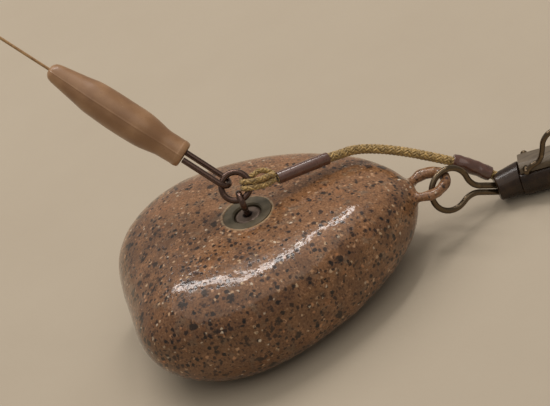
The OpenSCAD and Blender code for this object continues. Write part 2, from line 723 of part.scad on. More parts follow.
lead_core();
stone_coating();
nose_loop();
loop_coating();
socket_sleeve();
upper_eye();
swivel_barrel();
lower_eye();
rig_ring();
tether_loop();
front_tube();
tether_front();
tether_rear();
rear_tube();
quick_link();
link_barrel();
hooklink_eye();
hooklink_knot();
hooklink_line();
hooklink_end_loop();
anti_tangle_sleeve();
lead_link();
front_collar();
clip_body();
clip_saddle();
keeper_wire();
tail_cap();
tail_eye();
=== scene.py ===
"""Looks of the stone-coated fishing lead: its coating, swivels, rubber sleeve, tether and clip.

Metres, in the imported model's own frame: +X to the lead's nose, +Z up, seen from the -Y side.
"""
import json
import math

import bpy
import numpy as np
from mathutils import Matrix, Vector, noise


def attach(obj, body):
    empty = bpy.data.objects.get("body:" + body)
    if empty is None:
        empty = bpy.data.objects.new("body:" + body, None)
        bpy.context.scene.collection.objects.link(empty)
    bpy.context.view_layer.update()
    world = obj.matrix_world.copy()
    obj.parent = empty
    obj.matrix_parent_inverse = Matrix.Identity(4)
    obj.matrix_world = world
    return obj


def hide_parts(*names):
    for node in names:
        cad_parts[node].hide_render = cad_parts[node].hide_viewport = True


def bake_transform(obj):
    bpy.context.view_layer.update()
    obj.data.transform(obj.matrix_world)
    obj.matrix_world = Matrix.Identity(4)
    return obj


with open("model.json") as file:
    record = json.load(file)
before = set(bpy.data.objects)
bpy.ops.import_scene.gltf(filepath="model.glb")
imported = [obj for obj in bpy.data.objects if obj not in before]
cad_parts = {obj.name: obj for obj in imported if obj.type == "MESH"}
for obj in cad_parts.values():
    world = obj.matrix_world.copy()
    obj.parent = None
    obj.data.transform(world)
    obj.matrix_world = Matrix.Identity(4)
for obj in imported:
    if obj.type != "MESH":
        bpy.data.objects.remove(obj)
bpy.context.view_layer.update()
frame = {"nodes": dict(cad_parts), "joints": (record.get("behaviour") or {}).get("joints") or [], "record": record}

MM = 0.001
JOINTS = {joint["name"]: joint for joint in frame["joints"]}

# The camera: where it stands, and which way its right side and top point
CAMERA_AT = Vector((3.946, -289.29, 212.70)) * MM
CAMERA_RIGHT = Vector((0.91845, -0.22289, -0.32676))
CAMERA_UP = Vector((0.39555, 0.51755, 0.75873))
CAMERA_LENS_MM = 171.8
CAMERA_SENSOR_MM = 36.0

# The lead's body, as the solids have it
LEAD_LEN = 42 * MM
LEAD_W = 34.2 * MM
LEAD_H = 15.8 * MM
BASE_CUT = 1.7 * MM
SIDE_LEAN = 0.215
SOCKET_SHARE = 0.476
WIDEST_SHARE = 0.334
TAIL_PLAN = 1.3
TAIL_SQUARE = 4.7
NOSE_PLAN = 1.65
NOSE_SQUARE = 1.61
RISE_POWER = 2.16
UPPER_POWER = 3.6
LOWER_POWER = 2.25
TAIL_X = -SOCKET_SHARE * LEAD_LEN
NOSE_X = TAIL_X + LEAD_LEN
WIDE_X = TAIL_X + WIDEST_SHARE * LEAD_LEN
MID_Z = LEAD_H / 2
LOOP_R = 2.6 * MM
LOOP_TUBE_R = 0.73 * MM
LOOP_LUMP = 0.14 * MM
LOOP_AT = Vector((NOSE_X + 1.75 * MM, 0, 8.3 * MM))
BOSS_R = 2.6 * MM
BOSS_X = NOSE_X - 2.4 * MM
SOCKET_R = 3.42 * MM
SOCKET_DEEP_Z = 3.25 * MM
SOCKET_CUT_OVER = 1 * MM

# The body's steps: they close up towards its ends, and stop just short of them
BODY_RINGS = 56
BODY_SIDES = 200
STEP_SHARE = 0.9985
END_SHARE = 0.9999
# A turned shape's corners on its own axis stay this far from it
POLE_R = 1e-7

# The coating's skin, with (size, height) for each layer of lumps
COAT_VOXEL = 0.17 * MM
COAT_ROUNDS = 3
COAT_LUMPS = [(6 * MM, 0.08 * MM), (2.2 * MM, 0.035 * MM)]
LOOP_LUMP_SIZE = 1.1 * MM
LOOP_FROM_NOSE = (-0.5 * MM, 0.6 * MM)
# Where a hill rises and falls again: the loop's root, from the nose, and the lip, from the socket
ROOT_PLACES = (-2.4 * MM, -1.2 * MM, 0.2 * MM, 1.5 * MM)
ROOT_WEIGHT = 0.6
ROOT_ROUNDS = 26
LIP_PLACES = (-0.3 * MM, 0.1 * MM, 0.15 * MM, 0.7 * MM)
LIP_RISE = 0.07 * MM

# The ring and what hangs on it
RING_SEAT = Vector(JOINTS["ring_swing"]["pos_m"])
RING_R = 1.9 * MM
RING_LEAN = 34.3
STRANDS_AT = -7
LINK_AT = 133
LINK_LEAN = 34
LINK_TURN = 30
LINE_D = 0.4 * MM
LINE_FROM = 17.515 * MM
LINE_LEN = 30 * MM
KNOT_FROM = 15.715 * MM
KNOT_D = 1.3 * MM
KNOT_TIE_AT = 15.41 * MM
KNOT_TIE_R = 0.505 * MM
END_LOOP_R = 5.5 * MM
END_LOOP_GAP = 0.8 * MM
END_COIL_LEN = 1.2 * MM
END_COIL_TURNS = 3
KNOT_TURNS = 4
SLEEVE_FROM = 6.1 * MM
SLEEVE_LEN = 21.2 * MM
SLEEVE_D = 4.9 * MM
SLEEVE_MOUTH_D = 3.75 * MM
SLEEVE_BORE = 3.05 * MM
SLEEVE_TIP_BORE = 0.7 * MM
SLEEVE_SIDES = 200
# The rounded mouth: how far inside its edge, and how far up the sleeve
MOUTH_EDGE = [(0.34 * MM, 0), (0.2 * MM, 0.06 * MM), (0.07 * MM, 0.3 * MM), (0, 0.7 * MM)]
# The swelling, in shares of the sleeve's length and of its greatest radius
SWELLING_SHARES = [(0.05, 0.752), (0.1, 0.76), (0.16, 0.78), (0.26, 0.93), (0.33, 0.99), (0.45, 1),
                   (0.6, 0.98), (0.69, 0.93), (0.76, 0.82), (0.86, 0.68), (0.94, 0.56), (0.975, 0.47),
                   (0.99, 0.36)]
TIP_WALL = 0.2 * MM
BORE_EDGE = 0.1 * MM
BORE_NECK_R = 0.69 * MM
BORE_TIP_SHARE = 0.78
BORE_NECK_SHARE = 0.72
BORE_WIDE_SHARE = 0.52
PARTING_TURN = 292
PARTING_H = 0.05 * MM
PARTING_WIDTH = 0.045
SLEEVE_LUMP = 0.07 * MM
SLEEVE_LUMP_SIZE = 4.5 * MM

# The tether's route, given in millimetres, as the solids follow it
TETHER_ROUTE_MM = [(5.55, 2, 17.5), (9.1, 3, 16.75), (12.8, 4.2, 15.8), (14.75, 5, 15.05),
                   (16.3, 5.5, 14.55), (18.1, 5.8, 13.7), (20.5, 5.6, 12.5), (22.8, 5, 11.3),
                   (25.1, 4.3, 9.95), (28.4, 3.4, 7.75), (30.6, 2.65, 6.1), (32.5, 1.98, 4.4),
                   (33.5, 1.6, 3.4)]
FRONT_TUBE_END = 2
TETHER_SPLIT = 4
REAR_TUBE_START = 9
REAR_TUBE_END = 11
BRAID_D = 1.36 * MM
ROUTE_STEPS = 24
BRAID_SPACING = 0.065 * MM
BRAID_STYLE = dict(outer_r=BRAID_D / 2, carriers=16, pitch=4.4 * MM, width=0.34 * MM,
                   height=0.2 * MM, sway=0.07 * MM)
BRAID_CORE_SHARE = 0.92
BRAID_SIDES = 6
FRONT_TUBE_D = 1.7 * MM
REAR_TUBE_D = 2.2 * MM
FRONT_TUBE_STYLE = dict(crumple=0.012 * MM, crumple_size=2.5 * MM, sink=0, narrowing=0)
REAR_TUBE_STYLE = dict(crumple=0.13 * MM, crumple_size=1.1 * MM, sink=0.25, narrowing=0.12 * MM)
TUBE_ROOM = 0.03 * MM
TUBE_WALL = 0.03 * MM
TUBE_LIP = 0.05 * MM
TUBE_SIDES = 64
STRAND_D = 0.82 * MM
STRAND_STEPS = 16
STRAND_SPACING = 0.05 * MM
STRAND_STYLE = dict(outer_r=STRAND_D / 2, carriers=8, pitch=2.3 * MM, width=0.34 * MM,
                    height=0.2 * MM, sway=0.055 * MM)
# The tether's loop through the ring: out from the ring, away from the viewer, and along its wire
STRAND_ROUTES_MM = [
    [(3.5, 2.2, 0.2), (2.6, 1.9, 0.85), (1.7, 1.4, 1.12), (0.7, 1.02, 0.8), (-0.5, 0.76, 0.48),
     (-0.96, 0, 0.36), (-0.5, -0.76, 0.2), (0.5, -0.96, 0.02), (1.5, -0.5, -0.02), (2.6, 0.5, 0.1),
     (3.45, 1.45, 0.12)],
    [(3.5, 2.15, -0.4), (2.6, 1.8, -0.3), (1.7, 1.35, -0.22), (0.5, 1.02, -0.3),
     (-0.56, 0.8, -0.44), (-1.05, 0, -0.53), (-0.68, -0.8, -0.66), (0.36, -1.02, -0.82),
     (1.4, -0.5, -0.95), (2.5, 0.5, -0.86), (3.4, 1.5, -0.55)]]

# The clip
COLLAR_LEN = 3.7 * MM
CLIP_AT = Vector((NOSE_X + 10.5 * MM, 0.9 * MM, 2.57 * MM))
CLIP_YAW = 13
KEEPER_R = 0.38 * MM
KEEPER_H = 5.1 * MM
KEEPER_SIDE = 2.18 * MM
KEEPER_PIVOT = Vector((4.88, 0, 2.3)) * MM
KEEPER_INNER_END = 1.8 * MM
KEEPER_HEAD_LEN = 0.35 * MM
KEEPER_HEAD_RIM = 0.1 * MM
KEEPER_HEAD_TOP = 0.02 * MM
KEEPER_BEVEL = 0.08 * MM
KEEPER_STEPS = 12
KEEPER_SPACING = 0.08 * MM
KEEPER_TIP_SHARE = 0.01
KEEPER_SHARES = [(0, 1, 0), (0.085, 1, 0.055), (0.19, 1, 0.13), (0.28, 1, 0.165), (0.375, 1, 0.2),
                 (0.49, 1, 0.33), (0.58, 1, 0.54), (0.67, 1, 0.775), (0.8, 0.99, 0.93),
                 (0.925, 0.97, 0.995), (1.1, 0.9, 1.01), (1.3, 0.7, 0.92), (1.46, 0.42, 0.73),
                 (1.58, 0.18, 0.5), (1.68, 0.04, 0.32), (1.8, 0, 0.245)]
MOULDED_VOXEL = 0.08 * MM
MOULDED_ROUNDS = 4
MOULDED_LUMPS = [(1.5 * MM, 0.02 * MM)]
RELAX_WEIGHT = 0.5

# The stage: the floor's half width, and the lamps, each from start to end
FLOOR_HALF = 3.0
LAMPS = {
    "soft": dict(start=(-0.6, -0.08, 0.7), end=(0.6, -0.08, 0.7), width=1.2, power=3.0,
                 colour=(1.0, 0.96, 0.91)),
    "left_strip": dict(start=(-0.27, 0.39, 0.4), end=(0.075, 0.1, 0.588), width=0.065, power=1.15,
                       colour=(1.0, 0.95, 0.92)),
    "right_strip": dict(start=(0.075, 0.1, 0.588), end=(0.27, 0.33, 0.43), width=0.045, power=0.65,
                        colour=(1.0, 0.95, 0.92)),
}
SKY_COLOUR = (0.97, 0.93, 0.87, 1)
SKY_STRENGTH = 0.32


def shift(x, y, z):
    return Matrix.Translation((x, y, z))


def turned(axis, degrees):
    return Matrix.Rotation(math.radians(degrees), 4, axis)


def round_ring(degrees):
    """The place on the ring's wire at that angle, with the ring's own axes."""
    a = math.radians(degrees)
    return (Matrix.Translation(RING_SEAT) @ turned("X", -RING_LEAN)
            @ shift(RING_R * math.cos(a), 0, RING_R * (1 + math.sin(a))))


AT_LINK = round_ring(LINK_AT) @ turned("Y", -LINK_LEAN) @ turned("Z", -LINK_TURN)
AT_STRANDS = round_ring(STRANDS_AT) @ turned("Y", -STRANDS_AT)
AT_CLIP = (Matrix.Translation(CLIP_AT) @ shift(COLLAR_LEN, 0, 0) @ turned("Z", -CLIP_YAW)
           @ shift(-COLLAR_LEN, 0, 0))


def placed(matrix, points):
    """Points as an array, moved by a matrix."""
    m = np.array(matrix)
    return np.asarray(points, float) @ m[:3, :3].T + m[:3, 3]


# Curves through points

def smooth_route(points, steps):
    """A smooth curve through the points, with that many steps between two of them."""
    p = np.asarray(points, float)
    n = len(p)
    out = []
    for i in range(n - 1):
        a, b, c, d = p[max(i - 1, 0)], p[i], p[i + 1], p[min(i + 2, n - 1)]
        for t in np.arange(steps) / steps:
            out.append(0.5 * (2 * b + (c - a) * t + (2 * a - 5 * b + 4 * c - d) * t * t
                              + (3 * b - a - 3 * c + d) * t ** 3))
    out.append(p[-1])
    return np.array(out)


def lengths_along(points):
    steps = np.linalg.norm(np.diff(points, axis=0), axis=1)
    return np.concatenate([[0], np.cumsum(steps)])


def evenly(points, spacing):
    """The same curve, with its points one spacing apart."""
    s = lengths_along(points)
    count = max(2, int(round(s[-1] / spacing)) + 1)
    at = np.linspace(0, s[-1], count)
    return np.stack([np.interp(at, s, points[:, k]) for k in range(3)], axis=1)


def unit(v):
    return v / np.linalg.norm(v, axis=-1, keepdims=True)


def frames_along(points, first=(0, 0, 1)):
    """The curve's direction at each point, and two directions square to it that don't twist."""
    along = unit(np.gradient(points, axis=0))
    up = np.empty_like(points)
    v = np.array(first, float)
    for i, t in enumerate(along):
        v = v - t * (v @ t)
        v = v / np.linalg.norm(v)
        up[i] = v
    return along, up, np.cross(along, up)


# Meshes

def angles(sides):
    """That many angles round a full turn."""
    return np.arange(sides) * 2 * math.pi / sides


def tube(centres, up, side, r_up, r_side, sides):
    """A closed tube of oval section round the centres. Returns corners, faces and each face's UV."""
    n = len(centres)
    a = angles(sides)
    r_up = np.broadcast_to(np.asarray(r_up, float), (n,))
    r_side = np.broadcast_to(np.asarray(r_side, float), (n,))
    ring = (centres[:, None, :] + (r_up[:, None] * np.cos(a))[:, :, None] * up[:, None, :]
            + (r_side[:, None] * np.sin(a))[:, :, None] * side[:, None, :])
    corners = ring.reshape(-1, 3)
    faces = grid_faces(n, sides)
    s = lengths_along(centres) / MM
    uv = [[(k / sides, s[i]), ((k + 1) / sides, s[i]), ((k + 1) / sides, s[i + 1]), (k / sides, s[i + 1])]
          for i in range(n - 1) for k in range(sides)]
    corners = np.concatenate([corners, centres[:1], centres[-1:]])
    faces += end_faces(n, sides)
    for k in range(sides):
        uv.append([(0.5, s[0])] * 3)
        uv.append([(0.5, s[-1])] * 3)
    return corners, faces, uv


def grid_faces(rings, sides, closed=False):
    return [(i * sides + k, i * sides + (k + 1) % sides,
             (i + 1) % rings * sides + (k + 1) % sides, (i + 1) % rings * sides + k)
            for i in range(rings if closed else rings - 1) for k in range(sides)]


def end_faces(rings, sides):
    """Fans over both ends, to the two middle corners that follow the rings."""
    last = (rings - 1) * sides
    faces = []
    for k in range(sides):
        j = (k + 1) % sides
        faces.append((rings * sides, j, k))
        faces.append((rings * sides + 1, last + k, last + j))
    return faces


def lathe(profile, sides, closed=True):
    """A profile of (radius, height) turned round the local Z axis."""
    p = np.asarray(profile, float)
    a = angles(sides)
    ring = np.stack([p[:, 0, None] * np.cos(a), p[:, 0, None] * np.sin(a),
                     np.broadcast_to(p[:, 1, None], (len(p), sides))], axis=2)
    return ring.reshape(-1, 3), grid_faces(len(p), sides, closed)


def joined(parts):
    """Several tubes as one mesh."""
    corners, faces, uv, start = [], [], [], 0
    for c, f, u in parts:
        corners.append(c)
        faces += [tuple(k + start for k in face) for face in f]
        uv += u
        start += len(c)
    return np.concatenate(corners), faces, uv


def make_piece(name, corners, faces, material, body, replaces=(), uv=None, tones=None):
    """A mesh of the object: it rides on its body and stands for the solids it replaces."""
    mesh = bpy.data.meshes.new(name)
    mesh.from_pydata(np.asarray(corners).tolist(), [], faces)
    if uv is not None:
        layer = mesh.uv_layers.new(name="UVMap")
        layer.data.foreach_set("uv", [x for face in uv for pair in face for x in pair])
    if tones is not None:
        mesh.attributes.new("tone", "FLOAT", "POINT").data.foreach_set("value", tones)
    mesh.polygons.foreach_set("use_smooth", [True] * len(mesh.polygons))
    mesh.materials.append(material)
    mesh.validate()
    mesh.update()
    piece = bpy.data.objects.new(name, mesh)
    bpy.context.scene.collection.objects.link(piece)
    if body:
        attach(piece, body)
    if replaces:
        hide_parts(*replaces)
    return piece


def corners_of(mesh):
    flat = np.empty(len(mesh.vertices) * 3)
    mesh.vertices.foreach_get("co", flat)
    return flat.reshape(-1, 3)


def set_corners(mesh, corners):
    mesh.vertices.foreach_set("co", np.asarray(corners, float).ravel())
    mesh.update()


def applied(piece, kind, **settings):
    """Adds a modifier, and keeps what it makes as the piece's own mesh."""
    modifier = piece.modifiers.new(kind.lower(), kind)
    for key, value in settings.items():
        setattr(modifier, key, value)
    bpy.context.view_layer.update()
    made = bpy.data.meshes.new_from_object(piece.evaluated_get(bpy.context.evaluated_depsgraph_get()))
    piece.modifiers.clear()
    old, piece.data = piece.data, made
    bpy.data.meshes.remove(old)
    made.polygons.foreach_set("use_smooth", [True] * len(made.polygons))
    return piece


def relaxed(mesh, weights, rounds):
    """Moves each corner towards the middle of its neighbours, by its weight, a few times."""
    edges = np.empty(len(mesh.edges) * 2, int)
    mesh.edges.foreach_get("vertices", edges)
    a, b = edges.reshape(-1, 2).T
    p = corners_of(mesh)
    count = np.bincount(np.concatenate([a, b]), minlength=len(p))
    for _ in range(rounds):
        middle = np.stack([np.bincount(np.concatenate([a, b]), np.concatenate([p[b, k], p[a, k]]), len(p))
                           for k in range(3)], axis=1) / count[:, None]
        p = p + (middle - p) * weights[:, None]
    set_corners(mesh, p)


def normals_of(mesh):
    flat = np.empty(len(mesh.vertices) * 3)
    mesh.vertex_normals.foreach_get("vector", flat)
    return flat.reshape(-1, 3)


def lumped(mesh, layers):
    """Pushes the surface in and out by soft noise: (size, height) for each layer."""
    p, n = corners_of(mesh), normals_of(mesh)
    push = np.zeros(len(p))
    for size, height in layers:
        push += height * np.array([noise.noise(Vector(q) / size) for q in p])
    set_corners(mesh, p + n * push[:, None])


def ease(x, low, high):
    t = np.clip((x - low) / (high - low), 0, 1)
    return t * t * (3 - 2 * t)


def hill(x, middle, places):
    """Rises from the first place to the second and falls from the third to the fourth."""
    a, b, c, d = (middle + place for place in places)
    return ease(x, a, b) * ease(-x, -d, -c)


# Materials

def paint(red, green, blue):
    """A colour as written for a screen, 0 to 255, in the renderer's own linear terms."""
    return tuple(((c / 255 + 0.055) / 1.055) ** 2.4 if c > 10 else c / 3294.6
                 for c in (red, green, blue)) + (1.0,)


class Look:
    """One material's nodes. Textures are laid out in millimetres of the object's own place."""

    def __init__(self, name, **fixed):
        self.material = bpy.data.materials.new(name)
        self.material.use_nodes = True
        self.tree = self.material.node_tree
        self.tree.nodes.clear()
        out = self.node("ShaderNodeOutputMaterial")
        self.shader = self.node("ShaderNodeBsdfPrincipled")
        self.join(self.shader.outputs["BSDF"], out.inputs["Surface"])
        for socket, value in fixed.items():
            self.shader.inputs[socket.replace("_", " ")].default_value = value
        self.place = self.node("ShaderNodeTexCoord")
        self.mm = self.scaled(self.place.outputs["Object"], (1 / MM,) * 3)

    def node(self, kind, **settings):
        made = self.tree.nodes.new(kind)
        for key, value in settings.items():
            setattr(made, key, value)
        return made

    def join(self, source, target):
        self.tree.links.new(source, target)

    def put(self, target, value):
        if hasattr(value, "is_linked"):
            self.join(value, target)
        else:
            target.default_value = value

    def scaled(self, vector, by):
        made = self.node("ShaderNodeMapping")
        self.join(vector, made.inputs["Vector"])
        made.inputs["Scale"].default_value = by
        return made.outputs["Vector"]

    def noise(self, size, detail=2.0, rough=0.5, vector=None, colour=False):
        made = self.node("ShaderNodeTexNoise")
        self.join(vector or self.mm, made.inputs["Vector"])
        made.inputs["Scale"].default_value = 1 / size
        made.inputs["Detail"].default_value = detail
        made.inputs["Roughness"].default_value = rough
        return made.outputs["Color" if colour else "Fac"]

    def warped(self, size, by):
        """The place in millimetres, pushed about by noise."""
        centred = self.node("ShaderNodeVectorMath", operation="SUBTRACT")
        self.join(self.noise(size, colour=True), centred.inputs[0])
        centred.inputs[1].default_value = (0.5,) * 3
        scaled = self.node("ShaderNodeVectorMath", operation="SCALE")
        self.join(centred.outputs["Vector"], scaled.inputs[0])
        scaled.inputs["Scale"].default_value = by
        total = self.node("ShaderNodeVectorMath", operation="ADD")
        self.join(self.mm, total.inputs[0])
        self.join(scaled.outputs["Vector"], total.inputs[1])
        return total.outputs["Vector"]

    def maths(self, operation, a, b):
        made = self.node("ShaderNodeMath", operation=operation)
        self.put(made.inputs[0], a)
        self.put(made.inputs[1], b)
        return made.outputs["Value"]

    def spread(self, value, low, high, to_low=0.0, to_high=1.0):
        """The value's range from low to high, eased, as a range of its own."""
        made = self.node("ShaderNodeMapRange", interpolation_type="SMOOTHSTEP")
        for socket, v in (("Value", value), ("From Min", low), ("From Max", high),
                          ("To Min", to_low), ("To Max", to_high)):
            self.put(made.inputs[socket], v)
        return made.outputs["Result"]

    def blend(self, share, a, b):
        made = self.node("ShaderNodeMix", data_type="RGBA")
        self.put(made.inputs["Factor"], share)
        colours = [socket for socket in made.inputs if socket.type == "RGBA"]
        self.put(colours[0], a)
        self.put(colours[1], b)
        return next(socket for socket in made.outputs if socket.type == "RGBA")

    def specks(self, cell, small, large, vector, soft=0.08):
        """Round specks, one in each cell at most, from small to large in shares of the cell.
        Returns where they are, and two numbers that differ from speck to speck."""
        made = self.node("ShaderNodeTexVoronoi", feature="F1")
        self.join(vector, made.inputs["Vector"])
        made.inputs["Scale"].default_value = 1 / cell
        parts = self.node("ShaderNodeSeparateColor")
        self.join(made.outputs["Color"], parts.inputs["Color"])
        size = self.spread(parts.outputs["Red"], 0.0, 1.0, small, large)
        inner = self.maths("SUBTRACT", size, soft)
        where = self.spread(made.outputs["Distance"], inner, size, 1.0, 0.0)
        return where, parts.outputs["Green"], parts.outputs["Blue"]

    def bump(self, height, depth, coat=False):
        """Height, 0 to 1, raised to that depth in metres; the clear coat follows it if asked."""
        made = self.node("ShaderNodeBump")
        made.inputs["Strength"].default_value = 1.0
        made.inputs["Distance"].default_value = depth
        self.join(height, made.inputs["Height"])
        self.join(made.outputs["Normal"], self.shader.inputs["Normal"])
        if coat:
            self.join(made.outputs["Normal"], self.shader.inputs["Coat Normal"])

    def from_axis(self):
        """The distance from the object's own Z axis, in millimetres."""
        made = self.node("ShaderNodeVectorMath", operation="LENGTH")
        self.join(self.scaled(self.mm, (1.0, 1.0, 0.0)), made.inputs[0])
        return made.outputs["Value"]

    def colour(self, value):
        self.put(self.shader.inputs["Base Color"], value)

    def rough(self, value):
        self.put(self.shader.inputs["Roughness"], value)


def stone_look():
    """Glossy brown coating full of black, brown and cream specks, denser to the tail and below, with painted shade
    darkening the tail, the lower part and the -Y side.
    """
    look = Look("stone_coat", Coat_Weight=1.0, Coat_Roughness=0.07, Coat_IOR=1.42,
                Specular_IOR_Level=0.15)
    base = look.blend(look.noise(5.0, 3.0), paint(120, 81, 50), paint(152, 109, 73))
    base = look.blend(look.spread(look.noise(2.6, 3.0, 0.6), 0.54, 0.7, 0.0, 0.3), base,
                      paint(164, 104, 60))
    place = look.warped(3.0, 2.0)
    base = look.blend(look.spread(look.noise(1.9, 3.0, 0.6, vector=place), 0.54, 0.7, 0.0, 0.5), base,
                      paint(122, 110, 92))
    grain = look.noise(0.3, 4.0, 0.65)
    base = look.blend(look.spread(grain, 0.34, 0.52, 0.65, 0.0), base, paint(60, 36, 22))
    base = look.blend(look.spread(grain, 0.54, 0.7, 0.0, 0.5), base, paint(198, 160, 124))
    parts = look.node("ShaderNodeSeparateXYZ")
    look.join(look.mm, parts.inputs["Vector"])
    # Where the specks crowd: towards the tail, the lower part and the -Y side, with noise. The same mask also sets
    # the painted shade below.
    speck_crowd_and_shade = look.spread(parts.outputs["X"], 16.0, -14.0, 0.12, 0.62)
    speck_crowd_and_shade = look.maths("ADD", speck_crowd_and_shade, look.spread(parts.outputs["Z"], 15.6, 11.0, 0.0, 0.34))
    speck_crowd_and_shade = look.maths("ADD", speck_crowd_and_shade, look.spread(parts.outputs["Y"], 14.0, -12.0, 0.0, 0.22))
    speck_crowd_and_shade = look.maths("ADD", speck_crowd_and_shade, look.spread(look.noise(2.4, 3.0), 0.35, 0.65, -0.3, 0.36))
    # Painted shade: the base darkens towards the tail, the lower part and the -Y side, in the same places where
    # the specks crowd.
    base = look.blend(look.spread(speck_crowd_and_shade, 0.4, 1.1, 0.0, 0.5), base, paint(76, 48, 28))

    def scattered(over, cell, small, large, vector, soft, more, strength, deep, light):
        """Specks over a colour; more of them where the speck mask, which also sets the painted shade, is high."""
        where, which, shade = look.specks(cell, small, large, vector, soft)
        seen = look.spread(look.maths("SUBTRACT", look.maths("ADD", speck_crowd_and_shade, more), which), -0.04, 0.04)
        share = look.maths("MULTIPLY", where, look.maths("MULTIPLY", seen, strength))
        return look.blend(share, over, look.blend(shade, deep, light)), share

    near, far = look.warped(0.4, 0.5), look.warped(0.8, 1.3)
    base, _ = scattered(base, 0.8, -0.1, 0.42, look.scaled(near, (1.0, 1.06, 0.94)), 0.24, 0.25, 0.75,
                        paint(180, 120, 76), paint(210, 182, 146))
    base, _ = scattered(base, 1.5, -0.1, 0.5, far, 0.2, -0.2, 0.88, paint(14, 10, 7), paint(40, 29, 19))
    base, fine = scattered(base, 0.45, 0.05, 0.52, look.scaled(near, (1.04, 0.95, 1.0)), 0.2, 0.12, 0.85,
                           paint(28, 17, 11), paint(92, 60, 40))
    base, dark = scattered(base, 0.7, 0.0, 0.6, near, 0.24, 0.14, 0.97, paint(10, 7, 5),
                           paint(60, 38, 25))
    base, _ = scattered(base, 0.95, -0.45, 0.28, look.scaled(near, (0.97, 1.0, 1.06)), 0.16, 0.5, 0.9,
                        paint(170, 148, 122), paint(214, 198, 174))
    # The coating's edge round the socket is painted pale in patches: partly wear, partly a painted highlight where
    # the edge catches the light
    radius = look.from_axis()
    rim = look.maths("MULTIPLY", look.spread(radius, 3.3, 3.45), look.spread(radius, 3.85, 3.55))
    rim = look.maths("MULTIPLY", rim, look.spread(look.noise(1.2), 0.35, 0.6, 0.2, 0.75))
    look.colour(look.blend(rim, base, paint(180, 156, 122)))
    look.rough(look.spread(look.noise(1.4, 3.0), 0.3, 0.7, 0.32, 0.46))
    relief = look.maths("ADD", look.maths("MULTIPLY", grain, 0.12), look.noise(0.9, 1.0))
    relief = look.maths("SUBTRACT", relief, look.maths("MULTIPLY", look.maths("ADD", dark, fine), 0.25))
    look.bump(relief, 0.04 * MM, coat=True)
    return look.material


def wire_look(name, deep, worn, rough, metal, coat):
    """Drawn wire: a dark finish, thinner and browner in patches, with fine pits."""
    look = Look(name, Metallic=metal, Coat_Weight=coat, Coat_Roughness=0.12)
    patches = look.spread(look.noise(0.9, 3.0, 0.6), 0.55, 0.75)
    look.colour(look.blend(patches, deep, worn))
    look.rough(look.spread(look.noise(0.35, 2.0), 0.3, 0.7, rough - 0.06, rough + 0.1))
    look.bump(look.noise(0.12, 3.0, 0.6), 0.01 * MM)
    return look.material


def barrel_look():
    """The swivel's end face: grey-brown metal with fine turning marks, with painted shade round its hole."""
    look = Look("barrel_metal", Metallic=0.45)
    radius = look.from_axis()
    rings = look.noise(0.09, 1.0, vector=look.scaled(radius, (1.0, 0.0, 0.0)))
    base = look.blend(look.noise(0.8, 3.0), paint(92, 76, 64), paint(124, 106, 92))
    # Painted shade: the face darkens towards its hole, where the countersink lies in shadow.
    base = look.blend(look.spread(radius, 0.85, 0.55), base, paint(30, 20, 17))
    look.colour(look.blend(look.spread(rings, 0.4, 0.7, 0.0, 0.3), base, paint(84, 66, 58)))
    look.rough(look.spread(look.noise(0.4), 0.3, 0.7, 0.36, 0.52))
    look.bump(rings, 0.012 * MM)
    return look.material


def plastic_look(name, dark, light, rough, grain, relief, coat):
    """Moulded plastic: cloudy colour, a fine grained skin and scuffs."""
    look = Look(name, Coat_Weight=coat, Coat_Roughness=0.16, Specular_IOR_Level=0.28)
    cloud = look.noise(1.6, 4.0, 0.6)
    look.colour(look.blend(look.spread(cloud, 0.3, 0.7), dark, light))
    look.rough(look.spread(look.noise(grain * 3, 3.0), 0.3, 0.7, rough - 0.08, rough + 0.1))
    look.bump(look.noise(grain, 3.0, 0.65), relief * MM)
    return look.material


def rubber_look():
    """Soft tan rubber: mottled, slightly dusty, with tiny pits."""
    look = Look("tan_rubber", Specular_IOR_Level=0.45, Coat_Weight=0.4, Coat_Roughness=0.26)
    cloud = look.noise(4.0, 3.0, 0.55)
    base = look.blend(look.spread(cloud, 0.3, 0.7), paint(134, 96, 62), paint(160, 121, 84))
    pits, _, _ = look.specks(0.6, -0.6, 0.16, look.mm)
    dust, _, _ = look.specks(0.8, -0.7, 0.12, look.scaled(look.mm, (1.1, 0.95, 1.0)))
    base = look.blend(look.spread(look.noise(0.5, 3.0, 0.6), 0.5, 0.75, 0.0, 0.35), base,
                      paint(120, 86, 56))
    base = look.blend(look.maths("MULTIPLY", pits, 0.5), base, paint(96, 64, 42))
    look.colour(look.blend(look.maths("MULTIPLY", dust, 0.5), base, paint(206, 182, 152)))
    look.rough(look.spread(look.noise(1.0, 3.0), 0.3, 0.7, 0.36, 0.5))
    look.bump(look.maths("SUBTRACT", look.noise(0.2, 3.0, 0.6), pits), 0.012 * MM)
    return look.material


def tube_look():
    """Shrunk tube: dark brown, glossy, drawn lengthwise."""
    look = Look("shrink_tube", Coat_Weight=1.0, Coat_Roughness=0.14, Specular_IOR_Level=0.5)
    base = look.blend(look.noise(1.3, 3.0), paint(68, 39, 27), paint(98, 60, 44))
    streak = look.noise(1.0, 2.0, vector=look.scaled(look.place.outputs["UV"], (9.0, 0.5, 1.0)))
    look.colour(look.blend(look.spread(streak, 0.45, 0.75, 0.0, 0.5), base, paint(116, 72, 54)))
    look.rough(look.spread(look.noise(0.5, 2.0), 0.3, 0.7, 0.24, 0.36))
    look.bump(look.maths("ADD", streak, look.noise(0.25, 2.0)), 0.015 * MM)
    return look.material


